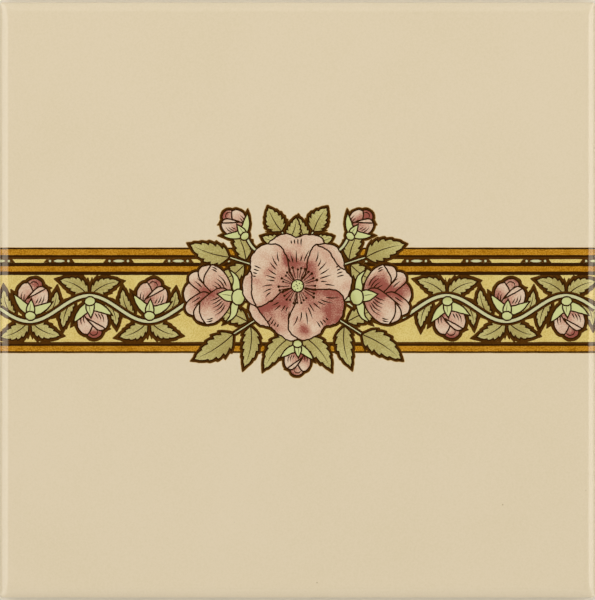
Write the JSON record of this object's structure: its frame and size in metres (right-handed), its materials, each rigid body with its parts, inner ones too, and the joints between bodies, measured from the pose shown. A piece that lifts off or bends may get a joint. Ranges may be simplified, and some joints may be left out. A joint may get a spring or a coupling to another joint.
{
  "type": "ceramic border tile",
  "caption": "Square glazed ceramic wall tile with a cushion edge, a keyed back and a printed floral border band across the middle of its face.",
  "frame": {"origin": "centre of the tile's back, on the plane of its ribs", "axes": "+Z out of the glazed face, +X along the printed band, +Y towards the band's double gold stripe"},
  "size_m": [0.152, 0.152, 0.007],
  "materials": {
    "glazed_face": "gloss cream glaze with a printed border band; bare biscuit on the back"
  },
  "bodies": {
    "root": {"border_tile": "glazed_face"}
  },
  "joints": []
}
